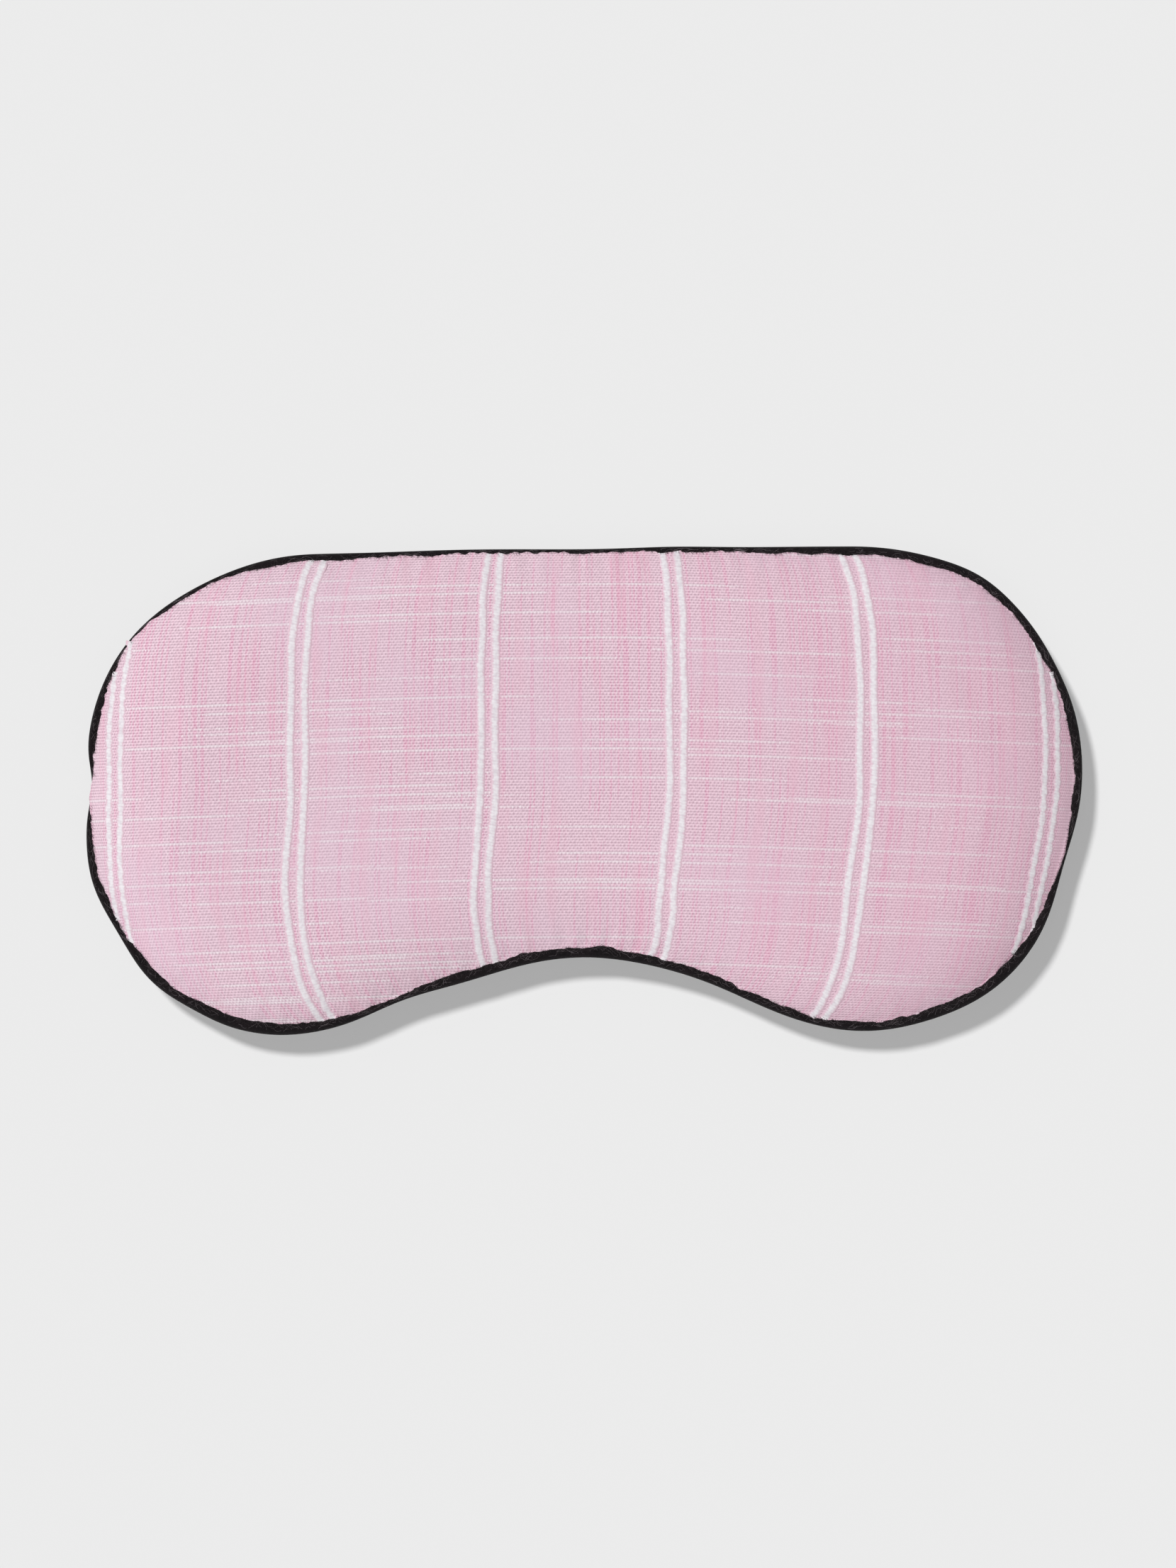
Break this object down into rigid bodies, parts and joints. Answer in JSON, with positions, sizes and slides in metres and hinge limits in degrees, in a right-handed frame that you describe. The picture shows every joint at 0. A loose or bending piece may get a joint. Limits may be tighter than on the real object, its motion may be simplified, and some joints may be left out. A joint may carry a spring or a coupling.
{
  "type": "sleep eye mask",
  "caption": "Padded sleep eye mask: striped woven cotton face, dark fleece back rolled over the edge as a rim, wadding inside and an elastic head strap tacked on behind.",
  "frame": {"origin": "on the surface that the mask lies on, under the middle of its box", "axes": "+X across the mask to the right as the face is looked at with the brow up, +Y from the nose notch to the brow, +Z out of the face"},
  "size_m": [0.205, 0.1, 0.0139],
  "materials": {
    "face_cotton": "plain-weave slub cotton, pink warp and pale weft, white corded stripes in pairs",
    "wadding": "lofted polyester fibre",
    "interlining": "dense plain-weave cloth, matt",
    "back_fleece": "brushed knitted fleece, short nap",
    "dark_thread": "spun polyester sewing thread",
    "pale_thread": "spun polyester sewing thread",
    "elastic": "knitted elastic tape with lengthwise ribs"
  },
  "bodies": {
    "mask": {"face_panel": "face_cotton", "wadding": "wadding", "blackout_interlining": "interlining", "back_panel": "back_fleece", "seam_thread": "dark_thread", "closing_stitches": "pale_thread", "left_strap_tack": "dark_thread", "right_strap_tack": "dark_thread"},
    "strap": {"elastic_strap": "elastic"}
  },
  "joints": [
    {"name": "strap_draw", "type": "slide", "parent": "mask", "child": "strap", "axis": [0, 1, 0], "range_m": [0, 0.12], "stiffness_N_per_m": 20, "deforming": ["elastic_strap"]}
  ]
}
